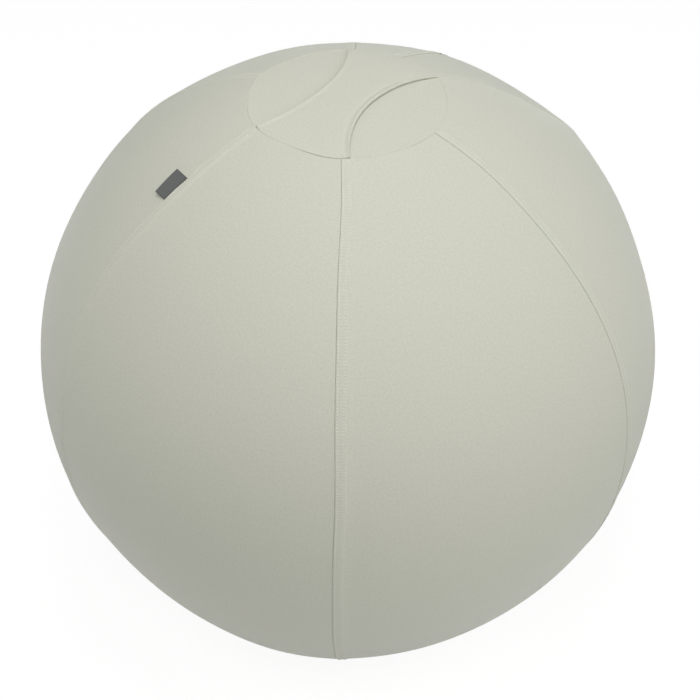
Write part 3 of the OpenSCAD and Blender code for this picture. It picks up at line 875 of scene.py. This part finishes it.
def label_line(distance):
    """Section of the label from the seam out: the sum of short steps, whose slope turns from upright
    in the seam to a lift of 12 degrees beside it and 2 at the free edge. Zero is the hinge."""
    fine = np.linspace(-2.0, 21.0, 461)
    slope = np.radians(90 - 78 * ease((fine + 1.4) / 1.8) - 10 * ease((fine - 1) / 15))
    step = fine[1] - fine[0]
    away, up = np.cumsum(np.cos(slope)) * step, np.cumsum(np.sin(slope)) * step
    zero = np.argmin(np.abs(fine))
    return (np.interp(distance, fine, away - away[zero]), np.interp(distance, fine, up - up[zero]),
            np.interp(distance, fine, slope))


down_ball = outward(LABEL_AZIMUTH, LABEL_POLAR + math.pi / 2)
to_right = outward(LABEL_AZIMUTH - math.pi / 2, math.pi / 2)
out_ball = outward(LABEL_AZIMUTH, LABEL_POLAR)
edge_steps = np.array([0, 0.05, 0.12, 0.22, 0.34, 0.5])
along = np.r_[edge_steps, np.linspace(1, LABEL_L - 1, 28), LABEL_L - edge_steps[::-1]] - LABEL_L / 2
out_w = np.r_[np.linspace(-1.0, 1.5, 11), np.linspace(2.2, LABEL_W - 1, 22), LABEL_W - edge_steps[::-1]]
along, out_w = np.meshgrid(along, out_w, indexing="ij")
bulge = LABEL_BULGE * (1 - (2 * along / LABEL_L) ** 2) * ease(out_w / LABEL_W)
away, up, slope = label_line(out_w * (1 + bulge - LABEL_ASKEW * (along / LABEL_L + 0.5)))
half_t = LABEL_T / 2 + fold(LABEL_W - out_w, 0.5, 0.36) + fold(LABEL_L / 2 - np.abs(along), 0.3, 0.22)


def label_points(side):
    """One face of the label, at half its thickness from the section's line."""
    a = away - side * half_t * np.sin(slope) - LABEL_LEFT
    u = up + side * half_t * np.cos(slope) - LABEL_UNDER
    d = along + LABEL_SWING * np.maximum(out_w, 0)
    points = LABEL_HINGE + d[..., None] * down_ball + a[..., None] * to_right + u[..., None] * out_ball
    return points[:, ::-1]


m, where = textured("woven_satin_polyester", "UV")
satin = maths(m, "ADD", bands(m, where, 0.7, "X"), bands(m, where, 0.9, "Y"))
body = shades(m, where, 1.2, "#4B4E4C", "#555856", detail=3.0)
# The colour is darker along the label's ends, its outer edge and its edge in the seam
colour = tinted(m, on_points(m, "selvedge"), body, "#3D3F3D")
finish(m, colour, satin, 0.5, 0.00008, {"Roughness": 0.62, "Sheen Weight": 0.1})
edge = np.maximum.reduce([
    ease((np.abs(along) - LABEL_L / 2 + 1.3) / 0.8), ease((out_w - LABEL_W + 1.1) / 0.8),
    1 - ease((out_w - 0.6) / 1.2)])[:, ::-1]
label = make_sheet("woven_label", label_points(1), label_points(-1), m,
                   np.stack([along, out_w], -1)[:, ::-1], selvedge=(edge, edge))
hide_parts("label")
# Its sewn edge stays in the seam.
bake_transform(label)

# The zip's tapes
# Two woven polyester tapes lie behind the slot, under the hems, each 13 mm wide.
TAPE_OUT, TAPE_IN = 323.4, 322.8
# Place of the tape's edge and its points from there on, and how far it runs past the slot, as an angle
TAPE_EDGE, TAPE_COLUMNS = 1.1, np.array([0, 0.2, 1.5, 3.0, 4.5, 8.0, 12.9])
PAST = 6.0 / BALL_R


def at_zip(x, polar, level):
    """Points along the zip: x to the right as seen from the front, and a level above the centre."""
    return np.stack(np.broadcast_arrays(x, level * np.sin(polar), CENTRE_Z + level * np.cos(polar)), -1)


tape, where = textured("woven_zip_tape", "UV")
finish(tape, shades(tape, where, 1.5, "#BCBDB0", "#C6C7BA"), bands(tape, where, 1.2, "DIAGONAL"),
       0.5, 0.0001, {"Roughness": 0.85})
polar = np.linspace(math.radians(ZIP_POLAR[0]) - PAST, math.radians(ZIP_POLAR[1]) + PAST, 150)[:, None]
for name, side in (("right", 1), ("left", -1)):
    x = (TAPE_EDGE + TAPE_COLUMNS)[::-side] * side + 0 * polar
    piece = make_sheet(
        "zip_tape_" + name + "_woven", at_zip(x, polar, TAPE_OUT), at_zip(x, polar, TAPE_IN), tape,
        np.stack([x, polar * BALL_R + 0 * x], -1))
    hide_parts("zip_tape_" + name)
    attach(piece, "ball")

# The zip's coils
# Nylon monofilament, 0.7 mm thick, wound into a flattened coil along each tape's edge. The turns of
# one coil lie between those of the other, and a line of thread holds each to its tape.
COIL_PITCH, COIL_R, COIL_POLAR = 1.5, 0.34, (47.8, 137.1)
# A coil's middle to the side and over the tape, half its width and height, and its turns' roundness
COIL_MIDDLE, COIL_HALF_W, COIL_HALF_H, COIL_ROUND = 1.25, 1.3, 0.88, 0.7
# Place of a coil's thread to the side and over the tape
COIL_THREAD_X, COIL_THREAD_UP = 1.75, 1.95


def tube(path, across, radius, sides=6):
    """A round wire carried along a path: at each point a ring about it, squared to the path from a
    direction that is never along it. Gives points and faces, closed at both ends."""
    ahead = unit(np.gradient(path, axis=0))
    first = squared(across, ahead)
    second = np.cross(first, ahead)
    turn = np.linspace(0, 2 * np.pi, sides, endpoint=False)[None, :, None]
    points = path[:, None] + radius * (first[:, None] * np.cos(turn) + second[:, None] * np.sin(turn))
    last = (len(path) - 1) * sides
    return points.reshape(-1, 3), [grid_quads(len(path), sides, 0, wrap=True), np.arange(sides),
                                   last + np.arange(sides)[::-1]]


nylon = moulded_material("nylon_monofilament", "#B2B3A7", "#BDBEB2", 0.4)
turns = int(math.radians(COIL_POLAR[1] - COIL_POLAR[0]) * TAPE_OUT / COIL_PITCH) - 1
for name, side in (("right", 1), ("left", -1)):
    t = np.linspace(0, turns, turns * 10 + 1)
    swing, height = np.cos(2 * np.pi * t), np.sin(2 * np.pi * t)
    x = side * (COIL_MIDDLE + COIL_HALF_W * np.sign(swing) * np.abs(swing) ** COIL_ROUND)
    level = TAPE_OUT + COIL_MIDDLE + COIL_HALF_H * np.sign(height) * np.abs(height) ** COIL_ROUND
    run = math.radians(COIL_POLAR[0]) + ((t + (0.5 if side < 0 else 0) + 0.3) * COIL_PITCH) / TAPE_OUT
    path = at_zip(x, run, level)
    lengthwise = at_zip(0, run + 0.01, TAPE_OUT) - at_zip(0, run, TAPE_OUT)
    coil = make_piece("zip_coil_" + name, *tube(path, lengthwise, COIL_R), nylon)
    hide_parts("zip_chain_" + name)
    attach(coil, "ball")
step = math.degrees(2 * COIL_PITCH / TAPE_OUT)
run = np.radians(np.arange(COIL_POLAR[0] + 0.4, COIL_POLAR[1] - 0.4, step))
out = at_zip(0, run, 1.0) - CENTRE
ahead = np.stack([0 * run, np.cos(run), -np.sin(run)], -1)
level = TAPE_OUT + COIL_THREAD_UP
coil_rows = [(at_zip(x, run, level), ahead, out) for x in (COIL_THREAD_X, -COIL_THREAD_X)]
stitching("coil_stitching", coil_rows, "ball", seam_thread)

# The zip's slider, pull and stops
# Die-cast zinc alloy, tumbled smooth and plated dark grey. The slider has two plates joined by a neck
# and side walls, and the pull swings on a bar through its lug. The stops are crimped over the tapes.
metal, where = textured("plated_zinc_alloy", "Object")
finish(metal, shades(metal, where, 3, "#5C6063", "#6C7073"), spots(metal, where, 1.2, 3.0), 0.25, 0.00004,
       {"Metallic": 1.0, "Roughness": 0.36})
rounded_copy("slider_casting", "zip_slider", 0.35, metal, "slider")
rounded_copy("pull_casting", "zip_pull", 0.3, metal, "pull")
rounded_copy("top_stop_crimps", "zip_top_stops", 0.4, metal, "ball")
rounded_copy("bottom_stop_crimp", "zip_bottom_stop", 0.5, metal, "ball")

# The studio
# A wide pale floor and four soft boxes, one overhead, one over the camera and one at each side, in an
# even surround. The camera stands 1.94 m from the ball's centre and 40 degrees up.


def soft_light(name, place, size, power):
    """A square lamp at a place in metres, turned to the ball's centre."""
    lamp = bpy.data.lights.new(name, "AREA")
    lamp.shape, lamp.size, lamp.energy = "SQUARE", size, power
    made = bpy.data.objects.new(name, lamp)
    bpy.context.scene.collection.objects.link(made)
    made.location = place
    aim = mathutils.Vector(CENTRE / 1000) - made.location
    made.rotation_euler = aim.to_track_quat("-Z", "Y").to_euler()


def seen_by_eye(material):
    """1 for rays from the camera and those in reflections or through clear parts, and 0 for light."""
    path = add(material, "LightPath").node
    both = maths(material, "MAXIMUM", path.outputs["Is Camera Ray"], path.outputs["Is Glossy Ray"])
    return maths(material, "MAXIMUM", both, path.outputs["Is Transmission Ray"])


soft_light("overhead_softbox", (0.0, 0.0, 3.3), 1.4, 28)
soft_light("front_softbox", (1.0, -2.15, 2.95), 2.0, 50.5)
soft_light("right_softbox", (2.6, 0.6, 2.3), 2.2, 39.5)
soft_light("left_softbox", (-2.6, -1.0, 2.2), 2.2, 20)
world = bpy.data.worlds.new("pale_surround")
bpy.context.scene.world = world
world.use_nodes = True
world.node_tree.nodes.clear()
light = add(world, "Background", {"Color": (1, 1, 1, 1), "Strength": 0.04})
white = add(world, "Background", {"Color": (1, 1, 1, 1), "Strength": 1.0})
shown = add(world, "MixShader", {0: seen_by_eye(world), 1: light, 2: white})
add(world, "OutputWorld", {"Surface": shown})

# The floor throws light back as pale paint does, and the eye sees it as an even white with soft shadows
m = new_material("matt_white_paint")
seen = seen_by_eye(m)
tone = maths(m, "MULTIPLY_ADD", seen, -0.66, 0.82)
glow = maths(m, "MULTIPLY", seen, 0.90)
matt = add(m, "BsdfDiffuse", {"Color": tone})
white = add(m, "Emission", {"Color": (1, 1, 1, 1), "Strength": glow})
close_material(m, add(m, "AddShader", {0: matt, 1: white}))
corners = np.array([(-1, -1), (1, -1), (1, 1), (-1, 1)]) * 6000.0
floor = make_piece("pale_floor", np.c_[corners, np.full(4, -0.3)], [np.arange(4)], m)

LIFT, TURN, ROLL, DISTANCE = 0.701599, 0.55998, 0.00201, 1.93703
toward = np.array([math.sin(TURN) * math.cos(LIFT), -math.cos(TURN) * math.cos(LIFT), math.sin(LIFT)])
right = np.array([math.cos(TURN), math.sin(TURN), 0.0])
upward = np.cross(toward, right)
lens = bpy.data.cameras.new("camera")
lens.sensor_width, lens.lens = 36.0, 92.92
lens.shift_x, lens.shift_y = 0.00289, -0.00263
lens.clip_start, lens.clip_end = 0.1, 50.0
camera = bpy.data.objects.new("camera", lens)
bpy.context.scene.collection.objects.link(camera)
turned = np.stack([right * math.cos(ROLL) - upward * math.sin(ROLL),
                   right * math.sin(ROLL) + upward * math.cos(ROLL), toward], 1)
place = mathutils.Matrix.Translation(toward * DISTANCE + CENTRE / 1000)
camera.matrix_world = place @ mathutils.Matrix(turned.tolist()).to_4x4()
bpy.context.scene.camera = camera
bpy.context.scene.view_settings.view_transform = "Standard"
